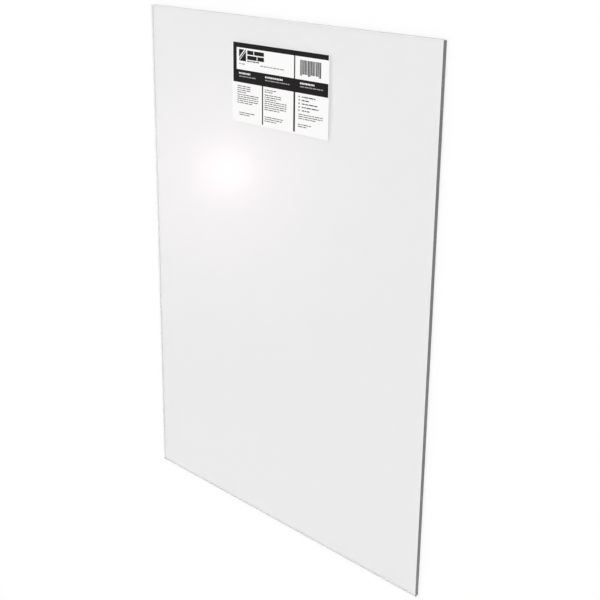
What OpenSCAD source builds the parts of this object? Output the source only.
// Clear acrylic sheet, sawn to a stock size, with the paper stock label stuck to its upper face.
//
// The sheet lies flat on its plain face. +Z points up out of the labelled face, and +Y runs along
// the long edges, towards the end that carries the label. The origin is the middle of the plain
// face underneath. Lengths are in millimetres.

/* [Sheet] */
// Width of the sheet, along its short ends
sheet_w = 457.2; // [200:0.1:1220]
// Length of the sheet, along its long edges
sheet_l = 609.6; // [250:0.1:2440]
// Thickness of the sheet
sheet_t = 5.6; // [2:0.1:12]
// Width and depth of the 45 degree break along every sawn arris
arris = 0.4; // [0.1:0.1:0.8]

/* [Label] */
// Width of the label, across the sheet
label_w = 156; // [60:0.1:180]
// Height of the label, along the sheet
label_h = 90; // [40:0.1:120]
// Thickness of the label with its adhesive
label_t = 0.2; // [0.1:0.05:0.5]
// Radius of the die-cut corners of the label
label_r = 1.6; // [0.5:0.1:12]
// Distance from the sheet's head end to the label's top edge
label_drop = 29; // [5:0.5:100]

/* [Hidden] */
$fn = 48;

// The label is centred across the sheet and hangs from the head end.
label_y = sheet_l / 2 - label_drop - label_h / 2;

// Rectangle of a by b, centred, with its four corners cut off at 45 degrees by c.
module broken_rectangle(a, b, c) {
    x = a / 2;
    y = b / 2;
    polygon([
        [x, y - c], [x - c, y],
        [c - x, y], [-x, y - c],
        [-x, c - y], [c - x, -y],
        [x - c, -y], [x, c - y]
    ]);
}

// Rectangle of a by b, centred, with its four corners rounded to radius r.
module rounded_rectangle(a, b, r) {
    square([a - 2 * r, b], center = true);
    square([a, b - 2 * r], center = true);
    for (sx = [-1, 1], sy = [-1, 1])
        translate([sx * (a / 2 - r), sy * (b / 2 - r)]) circle(r);
}

// The sheet is what three square saw cuts leave: its outline seen from above, from the end and
// from the side. Each outline has its corners broken, so every arris of the sheet is broken too.
module acrylic_sheet() {
    color([0.86, 0.88, 0.88, 0.6])
        translate([0, 0, sheet_t / 2])
            intersection() {
                linear_extrude(sheet_t, center = true)
                    broken_rectangle(sheet_w, sheet_l, arris);
                rotate([90, 0, 0])
                    linear_extrude(sheet_l, center = true)
                        broken_rectangle(sheet_w, sheet_t, arris);
                rotate([90, 0, 90])
                    linear_extrude(sheet_w, center = true)
                        broken_rectangle(sheet_l, sheet_t, arris);
            }
}

// The label lies face to face on the sheet.
module label() {
    color([0.95, 0.95, 0.94])
        translate([0, label_y, sheet_t])
            linear_extrude(label_t)
                rounded_rectangle(label_w, label_h, label_r);
}

acrylic_sheet();
label();
